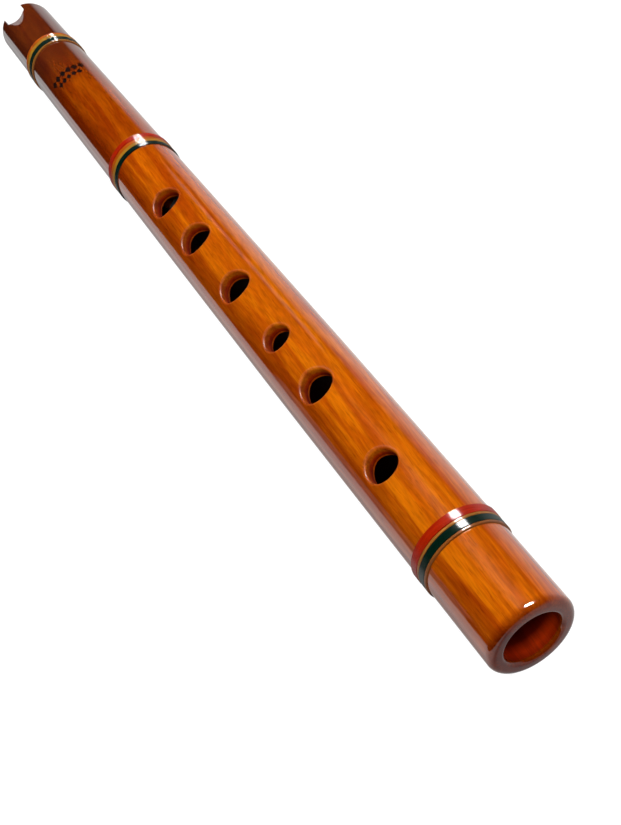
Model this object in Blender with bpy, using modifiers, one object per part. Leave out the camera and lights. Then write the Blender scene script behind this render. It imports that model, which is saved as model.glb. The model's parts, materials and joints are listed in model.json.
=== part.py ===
"""An Andean notch flute (quena): a turned hardwood tube with six finger holes, one thumb hole
and a blowing notch, dressed with three coloured thread bindings.

Frame: the flute lies on its bindings with the finger holes up. +X runs along the tube from the
mouth end to the foot end, +Z is up, and the origin is under the middle of the tube, at the height
of what it rests on. Lengths are in metres. A station is a distance from the foot end.
"""

import math

import bmesh
import bpy

# --- driving dimensions ---------------------------------------------------------------------

TUBE_LENGTH = 0.3865
BODY_DIAMETER = 0.02534          # at the belly, the fattest place
BELLY_STATION = 0.115
MOUTH_TAPER = 0.00182            # how much less the diameter is at the mouth end
FOOT_TAPER = 0.00074             # and at the foot end
SWELL_POWER = 1.5                # how the diameter falls away on both sides of the belly
MOUTH_BORE = 0.0168
FOOT_BORE = 0.0160

FOOT_OUTER_ROUND = 0.0021
FOOT_INNER_ROUND = 0.0012
MOUTH_ROUND = 0.0009

# finger holes: station as a share of the tube's length, because a flute's holes are laid out in
# proportion to it, and the drilled diameter
FINGER_HOLES = (
    (0.5318, 0.0106),
    (0.4664, 0.0110),
    (0.3870, 0.0106),
    (0.3106, 0.0086),
    (0.2471, 0.0104),
    (0.1528, 0.0096),
)
THUMB_HOLE = (0.5973, 0.0090)

NOTCH_WIDTH = 0.0096
NOTCH_DEPTH = 0.0090
RAMP_LENGTH = 0.0065             # filed slope from the outer wall down to the blowing edge
RAMP_DROP = 0.0011
RAMP_FILE_DIAMETER = 0.0280

GROOVE_DEPTH = 0.0006            # seat that the thread is wound into
THREAD_PROUD = 0.00055           # how far the lacquered thread stands above the wood
TRIM_STEP = 0.00008              # the narrower colours of a binding lie this much lower
FIT_GAP = 0.0003                 # between pieces that touch

# bindings: colours in order from the foot side to the mouth side, each with its width
HEAD_BINDING_FROM_MOUTH = 0.0375
MIDDLE_BINDING_SHARE = 0.6211
FOOT_BINDING_FROM_FOOT = 0.0273
HEAD_BINDING = (("cream", 0.0010), ("green", 0.0032), ("yellow", 0.0024), ("orange", 0.0018))
MIDDLE_BINDING = (("green", 0.0022), ("yellow", 0.0017), ("orange", 0.0018), ("red", 0.0028))
FOOT_BINDING = (("ivory", 0.0008), ("green", 0.0024), ("cream", 0.0009), ("red", 0.0028))

AROUND = 40                      # facets round the turned pieces
AROUND_HOLE = 28
ARC_STEPS = 4
TAPER_STEPS = 5                  # facets along each stretch of the swelling outer wall

# --- sizes worked out from them -------------------------------------------------------------


def outer_radius(station):
    """Outside radius of the bare wood at a station."""
    if station > BELLY_STATION:
        share = (station - BELLY_STATION) / (TUBE_LENGTH - BELLY_STATION)
        taper = MOUTH_TAPER
    else:
        share = (BELLY_STATION - station) / BELLY_STATION
        taper = FOOT_TAPER
    return (BODY_DIAMETER - taper * share ** SWELL_POWER) / 2


def bore_radius(station):
    """Inside radius at a station: a straight, slightly conical bore."""
    share = station / TUBE_LENGTH
    return (FOOT_BORE + (MOUTH_BORE - FOOT_BORE) * share) / 2


def binding_width(colours):
    return sum(width for _, width in colours)


BINDINGS = {
    "foot_binding": (FOOT_BINDING_FROM_FOOT, FOOT_BINDING),
    "middle_binding": (MIDDLE_BINDING_SHARE * TUBE_LENGTH, MIDDLE_BINDING),
    "head_binding": (TUBE_LENGTH - HEAD_BINDING_FROM_MOUTH - binding_width(HEAD_BINDING), HEAD_BINDING),
}


def binding_radius(start, colours):
    """Outside radius of the wood where a binding sits."""
    return outer_radius(start + binding_width(colours) / 2)


# the flute rests on its fattest binding
AXIS_HEIGHT = max(binding_radius(*place) for place in BINDINGS.values()) + THREAD_PROUD

MOUTH_X = -TUBE_LENGTH / 2


def station_x(station):
    return TUBE_LENGTH / 2 - station


# --- scene ----------------------------------------------------------------------------------

for old in list(bpy.data.objects):
    bpy.data.objects.remove(old, do_unlink=True)

quena = bpy.data.collections.new("quena")
cutters = bpy.data.collections.new("cutters")
bpy.context.scene.collection.children.link(quena)
bpy.context.scene.collection.children.link(cutters)


def make_material(name, colour, roughness):
    material = bpy.data.materials.new(name)
    material.use_nodes = True
    shader = material.node_tree.nodes["Principled BSDF"]
    shader.inputs["Base Color"].default_value = (*colour, 1.0)
    shader.inputs["Roughness"].default_value = roughness
    shader.inputs["Metallic"].default_value = 0.0
    return material


THREAD_COLOURS = {
    "red": (0.50, 0.03, 0.01),
    "orange": (0.65, 0.22, 0.03),
    "yellow": (0.60, 0.38, 0.05),
    "green": (0.01, 0.08, 0.05),
    "cream": (0.70, 0.55, 0.36),
    "ivory": (0.66, 0.60, 0.50),
}


def arc(centre_r, centre_z, radius, first_degrees, last_degrees):
    """Points of an arc in the profile plane, both ends included."""
    points = []
    for step in range(ARC_STEPS + 1):
        angle = math.radians(first_degrees + (last_degrees - first_degrees) * step / ARC_STEPS)
        points.append((centre_r + radius * math.cos(angle), centre_z + radius * math.sin(angle)))
    return points


def turned_piece(name, profile, material):
    """Closed profile of (radius, station) points, spun round the flute's axis."""
    mesh = bpy.data.meshes.new(name)
    points = [(radius, 0.0, station) for radius, station in profile]
    edges = [(i, (i + 1) % len(points)) for i in range(len(points))]
    mesh.from_pydata(points, edges, [])
    piece = bpy.data.objects.new(name, mesh)
    quena.objects.link(piece)
    # stations count up from the foot end, which is at +X
    piece.location = (station_x(0.0), 0.0, AXIS_HEIGHT)
    piece.rotation_euler = (0.0, -math.pi / 2, 0.0)
    spin = piece.modifiers.new("spin", "SCREW")
    spin.axis = "Z"
    spin.angle = 2 * math.pi
    spin.steps = AROUND
    spin.render_steps = AROUND
    spin.use_merge_vertices = True
    spin.merge_threshold = 0.00001
    spin.use_smooth_shade = True
    mesh.materials.append(material)
    return piece


def add_cutter(name, mesh_builder, location, rotation=(0.0, 0.0, 0.0)):
    """A guide solid that a Boolean takes away; it isn't a piece of the flute."""
    work = bmesh.new()
    mesh_builder(work)
    mesh = bpy.data.meshes.new(name)
    work.to_mesh(mesh)
    work.free()
    cutter = bpy.data.objects.new(name, mesh)
    cutters.objects.link(cutter)
    cutter.location = location
    cutter.rotation_euler = rotation
    cutter.hide_render = True
    cutter.display_type = "WIRE"
    return cutter


def cut(piece, cutter):
    difference = piece.modifiers.new(cutter.name, "BOOLEAN")
    difference.operation = "DIFFERENCE"
    difference.solver = "EXACT"
    difference.object = cutter


# --- body tube ------------------------------------------------------------------------------


def outer_wall():
    """Profile points of the outer wall, from the mouth end down to the foot, with the grooves."""
    top = TUBE_LENGTH - MOUTH_ROUND
    wall = []
    for start, colours in sorted(BINDINGS.values(), reverse=True):
        end = start + binding_width(colours)
        seat = binding_radius(start, colours) - GROOVE_DEPTH
        for step in range(1, TAPER_STEPS + 1):
            station = top + (end - top) * step / TAPER_STEPS
            wall.append((outer_radius(station), station))
        wall += [(seat, end), (seat, start), (outer_radius(start), start)]
        top = start
    return wall


def tube_profile():
    mouth_radius = outer_radius(TUBE_LENGTH)
    foot_radius = outer_radius(0.0)
    foot_wall = foot_radius - bore_radius(0.0)
    mouth_wall = mouth_radius - bore_radius(TUBE_LENGTH)
    # the roundings never take more than their share of the wall
    foot_outer = min(FOOT_OUTER_ROUND, foot_wall * 0.5)
    foot_inner = min(FOOT_INNER_ROUND, foot_wall * 0.3)
    mouth_round = min(MOUTH_ROUND, mouth_wall * 0.3)

    profile = arc(mouth_radius - mouth_round, TUBE_LENGTH - mouth_round, mouth_round, 90, 0)
    profile += outer_wall()
    profile += arc(foot_radius - foot_outer, foot_outer, foot_outer, 0, -90)
    profile += arc(bore_radius(0.0) + foot_inner, foot_inner, foot_inner, -90, -180)
    profile += arc(bore_radius(TUBE_LENGTH) + mouth_round, TUBE_LENGTH - mouth_round,
                   mouth_round, 180, 90)
    return profile


def radial_drill(diameter, length):
    """Builder of an upright cylinder standing on its origin."""
    def build(work):
        made = bmesh.ops.create_cone(work, cap_ends=True, segments=AROUND_HOLE,
                                     radius1=diameter / 2, radius2=diameter / 2, depth=length)
        bmesh.ops.translate(work, verts=made["verts"], vec=(0.0, 0.0, length / 2))
    return build


def notch_slot(work):
    """A round-bottomed slot, open past the mouth end, standing on its origin."""
    radius = NOTCH_WIDTH / 2
    made = bmesh.ops.create_cone(work, cap_ends=True, segments=AROUND_HOLE,
                                 radius1=radius, radius2=radius, depth=BODY_DIAMETER)
    for vert in made["verts"]:
        if vert.co.x < 0.0:
            vert.co.x -= NOTCH_DEPTH
    bmesh.ops.translate(work, verts=made["verts"], vec=(0.0, 0.0, BODY_DIAMETER / 2))


def make_body_tube():
    tube = turned_piece("body_tube", tube_profile(),
                        make_material("lacquered_hardwood", (0.42, 0.11, 0.015), 0.25))

    # finger holes go up from inside the bore, the thumb hole goes down
    for number, (share, diameter) in enumerate(FINGER_HOLES, start=1):
        drill = add_cutter(f"finger_drill_{number}", radial_drill(diameter, BODY_DIAMETER),
                           (station_x(share * TUBE_LENGTH), 0.0, AXIS_HEIGHT))
        cut(tube, drill)
    share, diameter = THUMB_HOLE
    drill = add_cutter("thumb_drill", radial_drill(diameter, BODY_DIAMETER),
                       (station_x(share * TUBE_LENGTH), 0.0, AXIS_HEIGHT), (math.pi, 0.0, 0.0))
    cut(tube, drill)

    slot = add_cutter("notch_slot", notch_slot,
                      (MOUTH_X + NOTCH_DEPTH - NOTCH_WIDTH / 2, 0.0, AXIS_HEIGHT))
    cut(tube, slot)

    # a round file leaves the ramp: its lowest line meets the wood RAMP_LENGTH behind the edge
    # and is RAMP_DROP deep where it comes out in the slot
    slope = math.atan2(RAMP_DROP, RAMP_LENGTH)
    edge_radius = outer_radius(TUBE_LENGTH - NOTCH_DEPTH) - RAMP_DROP
    overlap = NOTCH_DEPTH * 0.2
    file_radius = RAMP_FILE_DIAMETER / 2
    file = add_cutter("ramp_file", radial_drill(RAMP_FILE_DIAMETER, RAMP_LENGTH * 4),
                      (MOUTH_X + NOTCH_DEPTH - overlap * math.cos(slope) - file_radius * math.sin(slope),
                       0.0,
                       AXIS_HEIGHT + edge_radius - overlap * math.sin(slope)
                       + file_radius * math.cos(slope)),
                      (0.0, math.pi / 2 - slope, 0.0))
    cut(tube, file)
    return tube


# --- thread bindings ------------------------------------------------------------------------


def make_thread_ring(name, start, width, wood_radius, drop, material):
    """One colour of a binding: a band of wound thread, lying in the groove."""
    inner = wood_radius - GROOVE_DEPTH + FIT_GAP
    outer = wood_radius + THREAD_PROUD - drop
    low = start + FIT_GAP / 2
    high = start + width - FIT_GAP / 2
    profile = [(outer, high), (outer, low), (inner, low), (inner, high)]
    return turned_piece(name, profile, material)


def make_bindings():
    for binding_name, (start, colours) in BINDINGS.items():
        wood_radius = binding_radius(start, colours)
        widest = max(width for _, width in colours)
        place = start
        for colour, width in colours:
            material = make_material(f"{binding_name}_{colour}_thread", THREAD_COLOURS[colour], 0.35)
            drop = 0.0 if width == widest else TRIM_STEP
            make_thread_ring(f"{binding_name}_{colour}", place, width, wood_radius, drop, material)
            place += width


make_body_tube()
make_bindings()
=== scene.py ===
"""Looks of an Andean notch flute (quena): lacquered hardwood tube, burned ornament, three
bindings of coloured thread. It is laid on its bindings, finger holes up, mouth end at -X."""

import json
import math

import bmesh
import bpy
from mathutils import Matrix, Vector


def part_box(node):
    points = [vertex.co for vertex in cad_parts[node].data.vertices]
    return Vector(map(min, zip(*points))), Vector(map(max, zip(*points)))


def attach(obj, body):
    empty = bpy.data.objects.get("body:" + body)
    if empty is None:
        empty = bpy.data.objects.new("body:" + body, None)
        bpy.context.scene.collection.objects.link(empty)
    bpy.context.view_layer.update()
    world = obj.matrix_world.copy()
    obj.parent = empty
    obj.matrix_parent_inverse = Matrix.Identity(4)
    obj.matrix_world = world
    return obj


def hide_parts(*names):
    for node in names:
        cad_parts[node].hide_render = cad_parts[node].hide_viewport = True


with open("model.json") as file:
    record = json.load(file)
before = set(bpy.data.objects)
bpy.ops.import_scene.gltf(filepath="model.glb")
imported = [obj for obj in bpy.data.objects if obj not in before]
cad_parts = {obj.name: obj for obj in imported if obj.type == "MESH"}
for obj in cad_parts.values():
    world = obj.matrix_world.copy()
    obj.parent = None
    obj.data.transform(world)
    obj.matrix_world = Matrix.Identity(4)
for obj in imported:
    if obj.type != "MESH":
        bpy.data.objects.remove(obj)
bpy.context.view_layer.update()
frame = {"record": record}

# === The turned tube ========================================================================
# A billet of dense orange-brown hardwood, bored from end to end, then turned between centres
# with a faint belly. The foot rim is rounded over on both sides, the mouth rim only broken.
# Three shallow seats are cut round it for the thread.

MM = 0.001
tube_low, tube_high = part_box("body_tube")
MOUTH_X = tube_low.x
FOOT_X = tube_high.x
AXIS_Z = (tube_low.z + tube_high.z) / 2
BELLY_RADIUS = (tube_high.y - tube_low.y) / 2

BELLY_FROM_FOOT = 115 * MM
MOUTH_TAPER = 1.82 * MM          # off the diameter
FOOT_TAPER = 0.74 * MM
SWELL_POWER = 1.5
MOUTH_BORE = 16.8 * MM
FOOT_BORE = 16.0 * MM
FOOT_OUTER_ROUND = 2.1 * MM
FOOT_INNER_ROUND = 1.2 * MM
MOUTH_ROUND = 0.9 * MM
SEAT_DEPTH = 0.6 * MM
SEAT_EDGE = 0.12 * MM            # the lathe tool leaves the seat's edge softly broken

AROUND_TUBE = 224
WALL_STEP = 2.5 * MM
ROUND_STEPS = 14

BINDINGS = {
    "head_binding": ("cream", "green", "yellow", "orange"),
    "middle_binding": ("green", "yellow", "orange", "red"),
    "foot_binding": ("ivory", "green", "cream", "red"),
}


def outer_radius(x):
    """Radius of the bare wood at a place along the tube."""
    from_belly = (FOOT_X - BELLY_FROM_FOOT) - x
    if from_belly > 0:
        share = from_belly / (FOOT_X - BELLY_FROM_FOOT - MOUTH_X)
        taper = MOUTH_TAPER
    else:
        share = -from_belly / BELLY_FROM_FOOT
        taper = FOOT_TAPER
    return BELLY_RADIUS - taper * share ** SWELL_POWER / 2


def round_over(centre_x, centre_r, radius, first, last):
    """Outline points (x, radius) of a rounded edge; angles in degrees from the foot direction."""
    points = []
    for step in range(ROUND_STEPS + 1):
        angle = math.radians(first + (last - first) * step / ROUND_STEPS)
        points.append((centre_x + radius * math.cos(angle), centre_r + radius * math.sin(angle)))
    return points


def along_wall(start_x, end_x):
    """Outline points of the outer wall between two places, both included."""
    count = max(2, round((end_x - start_x) / WALL_STEP))
    places = [start_x + (end_x - start_x) * step / count for step in range(count + 1)]
    return [(x, outer_radius(x)) for x in places]


def seat_ends(binding):
    """Where the seat of a binding starts and ends along the tube."""
    rings = [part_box(f"{binding}_{colour}") for colour in BINDINGS[binding]]
    gap = 0.15 * MM              # half the room the frame leaves between neighbours
    return min(low.x for low, _ in rings) - gap, max(high.x for _, high in rings) + gap


def tube_outline():
    """Closed outline: outer wall from mouth to foot, foot rim, and back through the bore."""
    outline = round_over(MOUTH_X + MOUTH_ROUND, outer_radius(MOUTH_X) - MOUTH_ROUND,
                         MOUTH_ROUND, 180, 90)
    wall_start = MOUTH_X + MOUTH_ROUND
    for binding in BINDINGS:
        start, end = seat_ends(binding)
        floor = outer_radius((start + end) / 2) - SEAT_DEPTH
        outline += along_wall(wall_start, start - SEAT_EDGE)[1:]
        outline += [(start, outer_radius(start) - SEAT_EDGE), (start, floor),
                    (end, floor), (end, outer_radius(end) - SEAT_EDGE)]
        wall_start = end + SEAT_EDGE
        outline.append((wall_start, outer_radius(wall_start)))
    outline += along_wall(wall_start, FOOT_X - FOOT_OUTER_ROUND)[1:-1]
    outline += round_over(FOOT_X - FOOT_OUTER_ROUND, outer_radius(FOOT_X) - FOOT_OUTER_ROUND,
                          FOOT_OUTER_ROUND, 90, 0)
    outline += round_over(FOOT_X - FOOT_INNER_ROUND, FOOT_BORE / 2 + FOOT_INNER_ROUND,
                          FOOT_INNER_ROUND, 0, -90)
    count = round((FOOT_X - MOUTH_X) / WALL_STEP)
    for step in range(1, count):
        share = step / count
        outline.append((FOOT_X - (FOOT_X - MOUTH_X) * share,
                        (FOOT_BORE + (MOUTH_BORE - FOOT_BORE) * share) / 2))
    outline += round_over(MOUTH_X + MOUTH_ROUND, MOUTH_BORE / 2 + MOUTH_ROUND,
                          MOUTH_ROUND, 270, 180)
    return outline


def link_mesh(name, work):
    """Closes a bmesh's faces outward and puts it in the scene as an object."""
    bmesh.ops.recalc_face_normals(work, faces=work.faces)
    mesh = bpy.data.meshes.new(name)
    work.to_mesh(mesh)
    work.free()
    piece = bpy.data.objects.new(name, mesh)
    bpy.context.scene.collection.objects.link(piece)
    return piece


def join_rings(work, rings):
    """Faces between each ring of vertices and the next, every ring having the same count."""
    for ring, following in zip(rings, rings[1:]):
        for i, vert in enumerate(ring):
            j = (i + 1) % len(ring)
            work.faces.new((vert, ring[j], following[j], following[i]))


work = bmesh.new()
rings = []
for x, radius in tube_outline():
    angles = [2 * math.pi * i / AROUND_TUBE for i in range(AROUND_TUBE)]
    rings.append([work.verts.new((x, radius * math.sin(a), AXIS_Z + radius * math.cos(a)))
                  for a in angles])
join_rings(work, rings + rings[:1])
tube = link_mesh("quena_tube", work)

# === Finger holes and thumb hole ============================================================
# Drilled square to the bore, then opened at the top with a half-round file and abrasive, so
# that each hole has a soft rim that dips and rises with the round of the tube.

FINGER_HOLE_DIAMETERS = [10.6 * MM, 11.0 * MM, 10.6 * MM, 8.6 * MM, 10.4 * MM, 9.6 * MM]
THUMB_HOLE_DIAMETER = 9.0 * MM
RIM_ROUND = 1.0 * MM
RIM_STEPS = 10
RIM_FIRST_ANGLE = 12             # degrees; the file bites in at this slope
AROUND_HOLE = 112

openings = {item["name"]: item["box_m"] for item in frame["record"]["physics"]["openings"]}


def opening_x(name):
    """Middle of an opening along the tube."""
    low, high = openings[name]
    return (low[0] + high[0]) / 2


def rim_outline(hole_radius, rim):
    """Outline (distance from the hole's axis, depth under the tube's skin) of a filed rim."""
    first = math.radians(RIM_FIRST_ANGLE)
    clear = 0.03 * MM            # the file starts this far above the skin
    depth = rim * (1 - math.cos(first))
    reach = hole_radius + rim * (1 - math.sin(first)) + (depth + clear) / math.tan(first)
    outline = [(reach, -3 * MM), (reach, -clear)]
    for step in range(RIM_STEPS + 1):
        angle = first + (math.pi / 2 - first) * step / RIM_STEPS
        outline.append((hole_radius + rim * (1 - math.sin(angle)),
                        rim * (1 - math.cos(angle))))
    return outline


def eased_drill(work, x, diameter, rim, turn=0.0, stretch=0.0):
    """Adds what a hole takes away; turn pi puts it below, stretch draws it into a slot to -X."""
    skin = outer_radius(x)
    rings = []
    for reach, depth in rim_outline(diameter / 2, rim):
        ring = []
        for i in range(AROUND_HOLE):
            angle = 2 * math.pi * (i + 0.5) / AROUND_HOLE
            side = reach * math.sin(angle)
            along = reach * math.cos(angle)
            ring.append(Vector((along if along > 0 else along - stretch, side,
                                math.sqrt(skin ** 2 - side ** 2) - depth)))
        rings.append(ring)
    rings.append([Vector((point.x, point.y, 0.0)) for point in rings[-1]])
    place = Matrix.Translation((x, 0.0, AXIS_Z)) @ Matrix.Rotation(turn, 4, "X")
    rings = [[work.verts.new(place @ point) for point in ring] for ring in rings]
    join_rings(work, rings)
    work.faces.new(rings[0])
    work.faces.new(rings[-1])


def take_away(piece, tool):
    """Cuts a tool's solid out of a piece and throws the tool away."""
    cut = piece.modifiers.new("cut", "BOOLEAN")
    cut.operation = "DIFFERENCE"
    cut.solver = "EXACT"
    cut.material_mode = "TRANSFER"
    cut.object = tool
    bpy.context.view_layer.update()
    evaluated = piece.evaluated_get(bpy.context.evaluated_depsgraph_get())
    mesh = bpy.data.meshes.new_from_object(evaluated)
    piece.modifiers.clear()
    piece.data = mesh
    bpy.data.objects.remove(tool)


work = bmesh.new()
for number, diameter in enumerate(FINGER_HOLE_DIAMETERS, start=1):
    eased_drill(work, opening_x(f"finger_hole_{number}"), diameter, RIM_ROUND)
eased_drill(work, opening_x("thumb_hole"), THUMB_HOLE_DIAMETER, RIM_ROUND, turn=math.pi)
drills = link_mesh("drills", work)

# === Blowing notch ==========================================================================
# A round-bottomed slot sawn and filed into the mouth end, with a ramp filed down to its edge
# from outside: the player's breath splits on that edge.

NOTCH_WIDTH = 9.6 * MM
NOTCH_DEPTH = 9.0 * MM
NOTCH_EASED = 0.6 * MM           # the slot's upper edge is rubbed down
NOTCH_TURN = math.radians(4.3)   # filed by eye, a little off the line of the holes
RAMP_LENGTH = 6.5 * MM
RAMP_DROP = 1.1 * MM
RAMP_OVERLAP = 0.2               # of the notch's depth that the file passes over
RAMP_FILE_RADIUS = 14.0 * MM

work = bmesh.new()
eased_drill(work, MOUTH_X + NOTCH_DEPTH - NOTCH_WIDTH / 2, NOTCH_WIDTH, NOTCH_EASED,
            stretch=NOTCH_DEPTH)
about_axis = (Matrix.Translation((0.0, 0.0, AXIS_Z)) @ Matrix.Rotation(-NOTCH_TURN, 4, "X")
              @ Matrix.Translation((0.0, 0.0, -AXIS_Z)))
bmesh.ops.transform(work, matrix=about_axis, verts=work.verts)
slot_tool = link_mesh("slot_tool", work)

slope = math.atan2(RAMP_DROP, RAMP_LENGTH)
edge_radius = outer_radius(MOUTH_X + NOTCH_DEPTH) - RAMP_DROP
overlap = NOTCH_DEPTH * RAMP_OVERLAP
file_start = Vector((MOUTH_X + NOTCH_DEPTH - overlap * math.cos(slope)
                     - RAMP_FILE_RADIUS * math.sin(slope),
                     0.0,
                     AXIS_Z + edge_radius - overlap * math.sin(slope)
                     + RAMP_FILE_RADIUS * math.cos(slope)))
file_place = (about_axis @ Matrix.Translation(file_start)
              @ Matrix.Rotation(math.pi / 2 - slope, 4, "Y"))
work = bmesh.new()
rings = []
for height in (0.0, 4 * RAMP_LENGTH):
    ring = []
    for i in range(AROUND_HOLE):
        angle = 2 * math.pi * i / AROUND_HOLE
        ring.append(work.verts.new(file_place @ Vector((
            RAMP_FILE_RADIUS * math.cos(angle), RAMP_FILE_RADIUS * math.sin(angle), height))))
    rings.append(ring)
join_rings(work, rings)
work.faces.new(rings[0])
work.faces.new(rings[-1])
file_tool = link_mesh("file_tool", work)

# === Lacquered hardwood =====================================================================
# Tropical hardwood under glossy lacquer: long wandering bands of gold, orange and red-brown,
# fine dark pores drawn out with the grain, and a clear coat that gives hard reflections. The
# bore is oiled and the walls of the holes are filed, so both are duller.


def paint(code):
    """An sRGB hex colour as the linear RGBA that shaders take."""
    channels = [int(code[i:i + 2], 16) / 255 for i in (1, 3, 5)]
    linear = [c / 12.92 if c <= 0.04045 else ((c + 0.055) / 1.055) ** 2.4 for c in channels]
    return (*linear, 1.0)


def add_node(tree, kind, inputs=None, stops=(), **settings):
    """Adds a shader node; an input is a value or the socket that feeds it."""
    node = tree.nodes.new("ShaderNode" + kind)
    for name, value in settings.items():
        setattr(node, name, value)
    for socket, value in (inputs or {}).items():
        if isinstance(value, bpy.types.NodeSocket):
            tree.links.new(value, node.inputs[socket])
        else:
            node.inputs[socket].default_value = value
    for position, code in stops:
        ramp = node.color_ramp
        near = [stop for stop in ramp.elements if abs(stop.position - position) < 1e-6]
        stop = near[0] if near else ramp.elements.new(position)
        stop.color = paint(code)
    return node


def new_material(name):
    """An empty node material with its output; returns the material and its tree."""
    material = bpy.data.materials.new(name)
    material.use_nodes = True
    material.node_tree.nodes.clear()
    return material, material.node_tree


GRAIN_SLANT = math.radians(1.6)  # the billet wasn't split quite true to its axis
FIGURE_WIDTH = 3.2               # mm across a band of figure
FIBRE_WIDTH = 0.5                # mm across a streak of fibres
PORE_WIDTH = 0.28                # mm, drawn wider than life so that it shows
FIGURE_STRETCH = 14              # times longer than wide
FIBRE_STRETCH = 11
PORE_STRETCH = 16
SHADE_EDGE_WANDER = 1.0 * MM           # how far the darker side's edge wanders across the tube


def wood_colour(tree):
    """Colour and fibre relief of the wood from the place in the billet, and 0 foot to 1 mouth."""
    place = add_node(tree, "TexCoord")
    billet = add_node(tree, "Mapping", {
        "Vector": place.outputs["Object"], "Location": (0.0, 3.0, -AXIS_Z / MM + 2.0),
        "Rotation": (0.0, GRAIN_SLANT, GRAIN_SLANT), "Scale": (1 / MM,) * 3})

    # annual figure: slow bands, a few centimetres long
    figure_place = add_node(tree, "Mapping", {
        "Vector": billet.outputs[0], "Scale": (1 / FIGURE_STRETCH, 1.0, 1.0)})
    figure = add_node(tree, "TexNoise", {
        "Vector": figure_place.outputs[0], "Scale": 1 / FIGURE_WIDTH, "Detail": 2.5,
        "Roughness": 0.55, "Distortion": 0.6})
    tone = add_node(tree, "ValToRGB", {"Fac": figure.outputs[0]}, stops=(
        (0.0, "#782902"), (0.36, "#823402"), (0.50, "#8E4102"), (0.62, "#994C03"),
        (1.0, "#A45804")))

    # fibres: thin streaks about half a centimetre long
    fibre_place = add_node(tree, "Mapping", {
        "Vector": billet.outputs[0], "Scale": (1 / FIBRE_STRETCH, 1.0, 1.0)})
    fibre = add_node(tree, "TexNoise", {
        "Vector": fibre_place.outputs[0], "Scale": 1 / FIBRE_WIDTH, "Detail": 2.0})
    streak = add_node(tree, "MapRange", {
        "Value": fibre.outputs[0], "From Min": 0.3, "From Max": 0.7,
        "To Min": 0.78, "To Max": 1.17})
    streaked = add_node(tree, "Mix", {0: 1.0, 6: tone.outputs[0], 7: streak.outputs[0]},
                        data_type="RGBA", blend_type="MULTIPLY")

    # pores: short dark dashes
    pore_place = add_node(tree, "Mapping", {
        "Vector": billet.outputs[0], "Scale": (1 / PORE_STRETCH, 1.0, 1.0)})
    pore = add_node(tree, "TexNoise", {
        "Vector": pore_place.outputs[0], "Scale": 1 / PORE_WIDTH, "Detail": 1.0})
    pores = add_node(tree, "MapRange", {
        "Value": pore.outputs[0], "From Min": 0.62, "From Max": 0.72,
        "To Min": 0.0, "To Max": 0.35})
    pored = add_node(tree, "Mix", {
        0: pores.outputs[0], 6: streaked.outputs[2], 7: paint("#3A1002")}, data_type="RGBA")

    # painted shade: the -Y side of the tube, where little light falls, is darker and redder along
    # its whole length, its edge wandering with the figure
    split = add_node(tree, "SeparateXYZ", {0: place.outputs["Object"]})
    shade_edge_shift = add_node(tree, "MapRange", {
        "Value": figure.outputs[0], "From Min": 0.3, "From Max": 0.7,
        "To Min": -SHADE_EDGE_WANDER, "To Max": SHADE_EDGE_WANDER})
    edge = add_node(tree, "Math", {0: split.outputs["Y"], 1: shade_edge_shift.outputs[0]})
    across = add_node(tree, "MapRange", {
        "Value": edge.outputs[0], "From Min": -BELLY_RADIUS, "From Max": 0.0,
        "To Min": 0.0, "To Max": 1.0})
    side = add_node(tree, "ValToRGB", {"Fac": across.outputs[0]}, stops=(
        (0.0, "#FFF8F8"), (0.20, "#F8E8E4"), (0.42, "#D8C0B8"), (0.65, "#D8C4BC"),
        (0.92, "#FFFFFF"), (1.0, "#FFFFFF")))
    side_shaded = add_node(tree, "Mix", {0: 1.0, 6: pored.outputs[2], 7: side.outputs[0]},
                     data_type="RGBA", blend_type="MULTIPLY")

    # the end grain of the foot rim is darker and duller; its mauve tint, which runs onto the
    # rounding as a darker band, is also a painted reflection. The wood is darker towards the
    # mouth end
    from_foot = add_node(tree, "MapRange", {
        "Value": split.outputs["X"], "From Min": FOOT_X, "From Max": MOUTH_X,
        "To Min": 0.0, "To Max": 1.0})
    rim_and_mouth_tint = add_node(tree, "ValToRGB", {"Fac": from_foot.outputs[0]}, stops=(
        (0.0, "#A87C88"), (0.0028, "#B48884"), (0.0056, "#FFFFFF"), (0.35, "#FFFFFF"),
        (0.60, "#F6E8E4"), (0.66, "#D6C0BE"), (0.78, "#C8B0AE"), (0.86, "#98807E"),
        (1.0, "#947C78")))
    rim_and_mouth_tinted = add_node(tree, "Mix", {0: 1.0, 6: side_shaded.outputs[2], 7: rim_and_mouth_tint.outputs[0]},
                    data_type="RGBA", blend_type="MULTIPLY")
    # the last stretch at the mouth end is darkened further
    darkening = add_node(tree, "MapRange", {
        "Value": from_foot.outputs[0], "From Min": 0.78, "From Max": 0.86,
        "To Min": 0.0, "To Max": 0.3})
    mouth_darkened = add_node(tree, "Mix", {
        0: darkening.outputs[0], 6: rim_and_mouth_tinted.outputs[2], 7: paint("#341A14")}, data_type="RGBA")
    return mouth_darkened.outputs[2], fibre.outputs[0], from_foot.outputs[0]


lacquered_wood, tree = new_material("tropical_hardwood_gloss_lacquer")
colour, fibre, _ = wood_colour(tree)
sunk_grain = add_node(tree, "Bump", {
    "Height": fibre, "Strength": 0.04, "Distance": 0.2 * MM})
wood_shader = add_node(tree, "BsdfPrincipled", {
    "Base Color": colour, "Roughness": 0.42, "Specular IOR Level": 0.0, "Coat Weight": 1.0,
    "Coat Roughness": 0.07, "Coat IOR": 1.5, "Coat Normal": sunk_grain.outputs[0],
    "Normal": sunk_grain.outputs[0]})
add_node(tree, "OutputMaterial", {0: wood_shader.outputs[0]})
tube.data.materials.append(lacquered_wood)
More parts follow.
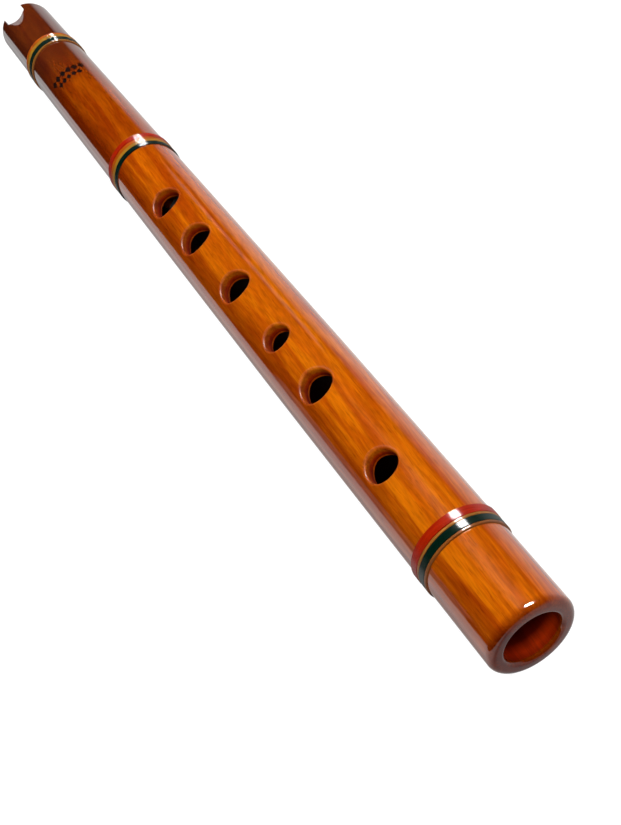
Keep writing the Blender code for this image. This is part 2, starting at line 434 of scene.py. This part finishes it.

# the bore is only oiled and dull; painted shade: red-orange just inside the foot end, it darkens
# to near black further in, where light does not reach
oiled_bore, tree = new_material("tropical_hardwood_oiled_bore")
colour, _, from_foot = wood_colour(tree)
painted_bore_shade = add_node(tree, "ValToRGB", {"Fac": from_foot}, stops=(
    (0.0, "#FFA880"), (0.008, "#FF9868"), (0.016, "#58180C"), (0.028, "#180808"),
    (1.0, "#180806")))
bore_shaded = add_node(tree, "Mix", {0: 1.0, 6: colour, 7: painted_bore_shade.outputs[0]},
                data_type="RGBA", blend_type="MULTIPLY")
bore_shader = add_node(tree, "BsdfPrincipled", {
    "Base Color": bore_shaded.outputs[2], "Roughness": 0.5, "IOR": 1.47})
add_node(tree, "OutputMaterial", {0: bore_shader.outputs[0]})
tube.data.materials.append(oiled_bore)

# the holes' walls are filed, not polished: satin. A painted highlight gives them a pale edge at
# the bore, and painted shade darkens them just above it, fading out towards the skin
PAINTED_WALL_LOW = 8.6 * MM             # from the tube's axis
PAINTED_WALL_HIGH = 12.0 * MM
filed_wall, tree = new_material("tropical_hardwood_filed_hole_wall")
colour, _, _ = wood_colour(tree)
place = add_node(tree, "TexCoord")
off_axis = add_node(tree, "Mapping", {
    "Vector": place.outputs["Object"], "Location": (0.0, 0.0, -AXIS_Z), "Scale": (0.0, 1.0, 1.0)})
from_axis = add_node(tree, "VectorMath", {0: off_axis.outputs[0]}, operation="LENGTH")
height = add_node(tree, "MapRange", {
    "Value": from_axis.outputs["Value"], "From Min": PAINTED_WALL_LOW, "From Max": PAINTED_WALL_HIGH,
    "To Min": 0.0, "To Max": 1.0})
painted_wall_light = add_node(tree, "ValToRGB", {"Fac": height.outputs[0]}, stops=(
    (0.0, "#FFE8D8"), (0.02, "#FFE8D8"), (0.05, "#A04830"), (0.40, "#E89870"), (0.7, "#FFFFFF"),
    (1.0, "#FFFFFF")))
darkening = add_node(tree, "Mix", {0: 1.0, 6: colour, 7: painted_wall_light.outputs[0]},
                   data_type="RGBA", blend_type="MULTIPLY")
filed_shader = add_node(tree, "BsdfPrincipled", {
    "Base Color": darkening.outputs[2], "Roughness": 0.5, "Specular IOR Level": 0.0,
    "Coat Weight": 0.2, "Coat Roughness": 0.4, "Coat IOR": 1.5})
add_node(tree, "OutputMaterial", {0: filed_shader.outputs[0]})

bore_limit = MOUTH_BORE / 2 + 0.05 * MM
for face in tube.data.polygons:
    centre = face.center
    reach = math.hypot(centre.y, centre.z - AXIS_Z)
    inside = MOUTH_X + 2 * MM < centre.x < FOOT_X - FOOT_INNER_ROUND
    if inside and reach < bore_limit:
        face.material_index = 1

for tool, surface in ((drills, filed_wall), (slot_tool, lacquered_wood),
                      (file_tool, lacquered_wood)):
    tool.data.materials.append(surface)
    take_away(tube, tool)

# === Burned ornament ========================================================================
# Two rows of small lozenges pressed into the wood with a hot iron below the head binding:
# shallow, flat-bottomed and charred nearly black, then lacquered over, so that they are as
# glossy as the wood round them.

CHAR_DEPTH = 0.15 * MM
ORNAMENT_TURN = math.radians(11)     # off the line of the holes
LOZENGE_ROWS = (                     # distance from the foot, half-length, half-width, count
    (314.6 * MM, 2.5 * MM, 1.35 * MM, 6),
    (309.8 * MM, 2.0 * MM, 1.15 * MM, 5),
)
LOZENGE_GAP = 0.06 * MM

charred_wood, tree = new_material("charred_hardwood_under_lacquer")
place = add_node(tree, "TexCoord")
crust = add_node(tree, "TexNoise", {
    "Vector": place.outputs["Object"], "Scale": 1 / (0.4 * MM), "Detail": 3.0})
char = add_node(tree, "ValToRGB", {"Fac": crust.outputs[0]}, stops=(
    (0.0, "#0B0606"), (0.6, "#160B09"), (1.0, "#3A1A10")))
crackle = add_node(tree, "Bump", {
    "Height": crust.outputs[0], "Strength": 0.3, "Distance": 0.05 * MM})
char_shader = add_node(tree, "BsdfPrincipled", {
    "Base Color": char.outputs[0], "Roughness": 0.6, "Normal": crackle.outputs[0],
    "Specular IOR Level": 0.0, "Coat Weight": 1.0, "Coat Roughness": 0.07})
add_node(tree, "OutputMaterial", {0: char_shader.outputs[0]})

work = bmesh.new()
for from_foot, half_length, half_width, count in LOZENGE_ROWS:
    x = FOOT_X - from_foot
    skin = outer_radius(x)
    pitch = (2 * half_width + LOZENGE_GAP) / skin
    for i in range(count):
        turn = ORNAMENT_TURN + pitch * (i - (count - 1) / 2)
        place = Matrix.Translation((x, 0.0, AXIS_Z)) @ Matrix.Rotation(-turn, 4, "X")
        corners = [(half_length, 0.0), (0.0, half_width), (-half_length, 0.0), (0.0, -half_width)]
        rings = [[work.verts.new(place @ Vector((a, b, height))) for a, b in corners]
                 for height in (skin - CHAR_DEPTH, skin + CHAR_DEPTH)]
        join_rings(work, rings)
        work.faces.new(rings[0])
        work.faces.new(rings[1])
irons = link_mesh("irons", work)
irons.data.materials.append(charred_wood)
take_away(tube, irons)

tube.data.shade_smooth()
tube.data.set_sharp_from_angle(angle=math.radians(32))
even = tube.modifiers.new("even_shading", "WEIGHTED_NORMAL")
even.keep_sharp = True
even.weight = 90
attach(tube, "root")
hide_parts("body_tube")

# === Thread bindings ========================================================================
# Fine cotton thread wound turn against turn in the seats, one colour after another, glued and
# lacquered over with the wood. Each colour is one winding; its turns climb as a true helix.

THREAD_PITCH = 0.38 * MM
THREAD_FLATTEN = 0.86            # lacquer fills the valleys: the share of each round that shows
POINTS_PER_TURN = 8
AROUND_THREAD = 168
THREAD_COLOURS = {
    "red": ("#7E1602", "thread_red"),
    "orange": ("#863C06", "thread_orange"),
    "yellow": ("#7E5614", "thread_yellow"),
    "green": ("#02140C", "thread_green"),
    "cream": ("#7A4A1A", "thread_cream"),
    "ivory": ("#6A3A14", "thread_cream"),
}


def thread_material(colour):
    """Dyed cotton under lacquer, a little uneven in tone from turn to turn and along the yarn."""
    material, tree = new_material(f"dyed_cotton_thread_{colour}_lacquered")
    place = add_node(tree, "TexCoord")
    stretch = add_node(tree, "Mapping", {
        "Vector": place.outputs["Object"], "Scale": (1 / (0.4 * MM), 1 / (4 * MM), 1 / (4 * MM))})
    uneven = add_node(tree, "TexNoise", {
        "Vector": stretch.outputs[0], "Scale": 1.0, "Detail": 3.0})
    shade = add_node(tree, "MapRange", {
        "Value": uneven.outputs[0], "From Min": 0.3, "From Max": 0.7,
        "To Min": 0.78, "To Max": 1.12})
    dyed = add_node(tree, "Mix", {
        0: 1.0, 6: paint(THREAD_COLOURS[colour][0]), 7: shade.outputs[0]},
        data_type="RGBA", blend_type="MULTIPLY")
    shader = add_node(tree, "BsdfPrincipled", {
        "Base Color": dyed.outputs[2], "Roughness": 0.5, "Specular IOR Level": 0.0,
        "Coat Weight": 0.6, "Coat Roughness": 0.14, "Coat IOR": 1.5})
    add_node(tree, "OutputMaterial", {0: shader.outputs[0]})
    return material


def wind_thread(name, start_x, end_x, floor, crest):
    """A winding between two places: a ring whose skin is the crests of a helix of thread."""
    turns = max(2, round((end_x - start_x) / THREAD_PITCH))
    pitch = (end_x - start_x) / turns
    thread_radius = pitch / 2
    across = turns * POINTS_PER_TURN
    work = bmesh.new()
    rings = []
    for i in range(AROUND_THREAD):
        share = i / AROUND_THREAD
        angle = 2 * math.pi * share
        ring = []
        for step in range(across + 1):
            along = step / across * turns
            wave = 2 * ((along + share) % 1.0) - 1
            dip = thread_radius * (1 - math.sqrt(1 - (THREAD_FLATTEN * wave) ** 2))
            # the first and last half turn roll down to the seat
            edge = min(along, turns - along, 0.5) * 2
            roll = 2 * thread_radius * (1 - math.sqrt(1 - (1 - edge) ** 2))
            radius = crest - max(dip, roll)
            ring.append(Vector((start_x + (end_x - start_x) * step / across, radius, angle)))
        ring.append(Vector((end_x, floor, angle)))
        ring.append(Vector((start_x, floor, angle)))
        rings.append([work.verts.new((p.x, p.y * math.sin(p.z), AXIS_Z + p.y * math.cos(p.z)))
                      for p in ring])
    join_rings(work, rings + rings[:1])
    return link_mesh(name, work)


thread_materials = {colour: thread_material(colour) for colour in THREAD_COLOURS}
for binding, colours in BINDINGS.items():
    start, end = seat_ends(binding)
    floor = outer_radius((start + end) / 2) - SEAT_DEPTH + 0.01 * MM
    for colour in colours:
        node = f"{binding}_{colour}"
        low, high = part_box(node)
        half_gap = 0.13 * MM     # neighbouring colours lie all but against each other
        winding = wind_thread(f"{node}_winding", low.x - half_gap, high.x + half_gap, floor,
                              (high.y - low.y) / 2)
        winding.data.materials.append(thread_materials[colour])
        winding.data.shade_smooth()
        winding.data.set_sharp_from_angle(angle=math.radians(75))
        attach(winding, "root")
        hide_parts(node)

# === Table, lights and camera ===============================================================
# A translucent white table lit from under, with soft light from the right. The room's own light
# is kept out of the lacquer: only the table's glow, three cards and one softbox show in it.

TABLE_SIZE = 6.0
# painted shadow: the glow is taken away under the flute
FOOTPRINT_DARK = 5 * MM          # the glow fades out under the flute, where it lies
FOOTPRINT_CLEAR = 11.5 * MM
FOOTPRINT_SHIFT = 2 * MM         # to -Y
FOOTPRINT_SHORT = 3 * MM         # it stops this far short of the flute's ends
GLOW_ACROSS = 200 * MM           # the glow as the lacquer sees it is set out over this width
GLOW_AT_FOOT = (                 # place across the table, mm from the middle, and glow there
    (-200, 1.5), (-80, 1.35), (-48, 1.2), (-33, 0.7), (-24, 0.4), (0, 0.8), (22, 1.1),
    (37, 1.15), (55, 0.95), (83, 0.65), (110, 0.5), (150, 0.36), (200, 0.28))
GLOW_AT_MOUTH = (
    (-200, 1.2), (-80, 0.95), (-48, 1.0), (-33, 0.65), (-24, 0.45), (0, 0.7), (22, 0.72),
    (37, 0.74), (55, 0.75), (83, 0.72), (110, 0.62), (150, 0.46), (200, 0.34))
GLOW_AHEAD_OF_FOOT = 0.75        # share of the glow left beyond the foot end

work = bmesh.new()
bmesh.ops.create_grid(work, x_segments=8, y_segments=8, size=TABLE_SIZE / 2)
table = link_mesh("white_table", work)


def clear_of_flute(tree):
    """The painted shadow under the flute: 0 under it, 1 on the open table, soft between; and the
    place on the table.
    """
    place = add_node(tree, "TexCoord")
    split = add_node(tree, "SeparateXYZ", {0: place.outputs["Object"]})
    shifted = add_node(tree, "Math", {0: split.outputs["Y"], 1: FOOTPRINT_SHIFT})
    sideways = add_node(tree, "Math", {0: shifted.outputs[0]}, operation="ABSOLUTE")
    lengthways = add_node(tree, "Math", {0: split.outputs["X"]}, operation="ABSOLUTE")
    past_end = add_node(tree, "Math", {
        0: lengthways.outputs[0], 1: FOOT_X - FOOTPRINT_CLEAR - FOOTPRINT_SHORT},
        operation="SUBTRACT")
    away = add_node(tree, "Math", {0: sideways.outputs[0], 1: past_end.outputs[0]},
                    operation="MAXIMUM")
    clear = add_node(tree, "MapRange", {
        "Value": away.outputs[0], "From Min": FOOTPRINT_DARK, "From Max": FOOTPRINT_CLEAR,
        "To Min": 0.0, "To Max": 1.0}, interpolation_type="SMOOTHSTEP")
    return clear.outputs[0], split


# sanded acrylic sheet, evenly lit: a flat white with no shine, its glow taken away under the
# flute as a painted shadow
matt_white, tree = new_material("matt_acrylic_lit_from_under")
clear, _ = clear_of_flute(tree)
table_shader = add_node(tree, "BsdfPrincipled", {
    "Base Color": paint("#484848"), "Roughness": 0.9, "Specular IOR Level": 0.0,
    "Emission Color": paint("#FFFFFF"), "Emission Strength": clear})
add_node(tree, "OutputMaterial", {0: table_shader.outputs[0]})
table.data.materials.append(matt_white)
table.visible_glossy = False
table.visible_diffuse = False

work = bmesh.new()
bmesh.ops.create_grid(work, x_segments=8, y_segments=8, size=TABLE_SIZE / 2)
glow_sheet = link_mesh("table_glow_in_lacquer", work)
# the same sheet again, uneven in brightness: it gives the lacquer its soft pale edges
glow_film, tree = new_material("table_glow_as_the_lacquer_sees_it")
clear, split = clear_of_flute(tree)
across = add_node(tree, "MapRange", {
    "Value": split.outputs["Y"], "From Min": -GLOW_ACROSS, "From Max": GLOW_ACROSS,
    "To Min": 0.0, "To Max": 1.0})
sheets = []
for levels in (GLOW_AT_FOOT, GLOW_AT_MOUTH):
    level = add_node(tree, "ValToRGB", {"Fac": across.outputs[0]})
    ramp = level.color_ramp
    while len(ramp.elements) > 1:
        ramp.elements.remove(ramp.elements[-1])
    for index, (y, strength) in enumerate(levels):
        position = (y * MM / GLOW_ACROSS + 1) / 2
        stop = ramp.elements[0] if index == 0 else ramp.elements.new(position)
        stop.position = position
        stop.color = (strength, strength, strength, 1.0)
    sheets.append(level.outputs[0])
along = add_node(tree, "MapRange", {
    "Value": split.outputs["X"], "From Min": FOOT_X, "From Max": MOUTH_X,
    "To Min": 0.0, "To Max": 1.0})
level = add_node(tree, "Mix", {0: along.outputs[0], 6: sheets[0], 7: sheets[1]}, data_type="RGBA")
ahead = add_node(tree, "MapRange", {
    "Value": split.outputs["X"], "From Min": FOOT_X - 4 * MM, "From Max": FOOT_X + 8 * MM,
    "To Min": 1.0, "To Max": GLOW_AHEAD_OF_FOOT})
shown = add_node(tree, "Math", {0: clear, 1: ahead.outputs[0]}, operation="MULTIPLY")
emission = add_node(tree, "Emission", {"Color": level.outputs[2], "Strength": shown.outputs[0]})
add_node(tree, "OutputMaterial", {0: emission.outputs[0]})
glow_sheet.data.materials.append(glow_film)


def reflector(name, centre, facing, width, height, level):
    """An upright sheet of white board at a low, even glow; facing is where its lit side looks."""
    work = bmesh.new()
    bmesh.ops.create_grid(work, x_segments=1, y_segments=1, size=0.5)
    card = link_mesh(name, work)
    card.scale = (width, height, 1.0)
    card.location = centre
    card.rotation_euler = Vector(facing).to_track_quat("Z", "Y").to_euler()
    board, tree = new_material(f"white_board_{name}")
    emission = add_node(tree, "Emission", {"Color": paint("#FFFFFF"), "Strength": level})
    add_node(tree, "OutputMaterial", {0: emission.outputs[0]})
    card.data.materials.append(board)
    return card


far_card = reflector("far_card", (-1.6, 0.0, 0.13), (1, 0, 0), 0.6, 0.26, 1.0)
near_card = reflector("near_card", (-0.215, 0.20, 0.085), (0, -1, 0), 0.21, 0.04, 0.55)
left_card = reflector("left_card", (-0.095, -0.30, 0.06), (0, 1, 0), 0.22, 0.09, 0.28)
for only_in_lacquer in (glow_sheet, far_card, near_card, left_card):
    only_in_lacquer.visible_camera = False
    only_in_lacquer.visible_diffuse = False
    only_in_lacquer.visible_shadow = False

room = bpy.data.worlds.new("white_room")
bpy.context.scene.world = room
room.use_nodes = True
background = room.node_tree.nodes["Background"]
background.inputs["Color"].default_value = paint("#FFFFFF")
background.inputs["Strength"].default_value = 1.0
room.cycles_visibility.diffuse = False
room.cycles_visibility.glossy = False


LAMPS_AIM_X = 0.04


def softbox(name, turn, lean, distance, size, power, lights, shows):
    """A square area light; turn is from straight up towards +Y, lean towards the mouth end.

    Lights says whether it lights the pieces, and shows whether it is seen in the lacquer."""
    light = bpy.data.lights.new(name, "AREA")
    light.size = size
    light.energy = power
    lamp = bpy.data.objects.new(name, light)
    turn, lean = math.radians(turn), math.radians(lean)
    away = Vector((-math.sin(lean), math.sin(turn) * math.cos(lean),
                   math.cos(turn) * math.cos(lean)))
    lamp.location = Vector((LAMPS_AIM_X, 0.0, AXIS_Z)) + away * distance
    lamp.rotation_euler = away.to_track_quat("Z", "Y").to_euler()
    lamp.visible_diffuse = lights
    lamp.visible_glossy = shows
    bpy.context.scene.collection.objects.link(lamp)


softbox("key_softbox", 35, 22, 0.95, 0.40, 17.2, True, False)
softbox("left_softbox", -75, 10, 0.9, 0.40, 4.5, True, False)
softbox("fill_softbox", 10, 5, 1.3, 1.0, 1, True, False)
softbox("foot_softbox", 20, -45, 0.9, 0.30, 8, True, False)
softbox("window_softbox", 47, -3, 0.90, 0.28, 85, False, True)

camera = bpy.data.cameras.new("camera")
camera.lens = 52.36
camera.sensor_width = 36
camera.clip_start = 0.01
viewer = bpy.data.objects.new("camera", camera)
viewer.location = (0.32523, 0.04099, 0.26607)
viewer.rotation_euler = [math.radians(angle) for angle in (28.545, 33.931, 56.177)]
bpy.context.scene.collection.objects.link(viewer)
bpy.context.scene.camera = viewer
bpy.context.scene.view_settings.view_transform = "Standard"
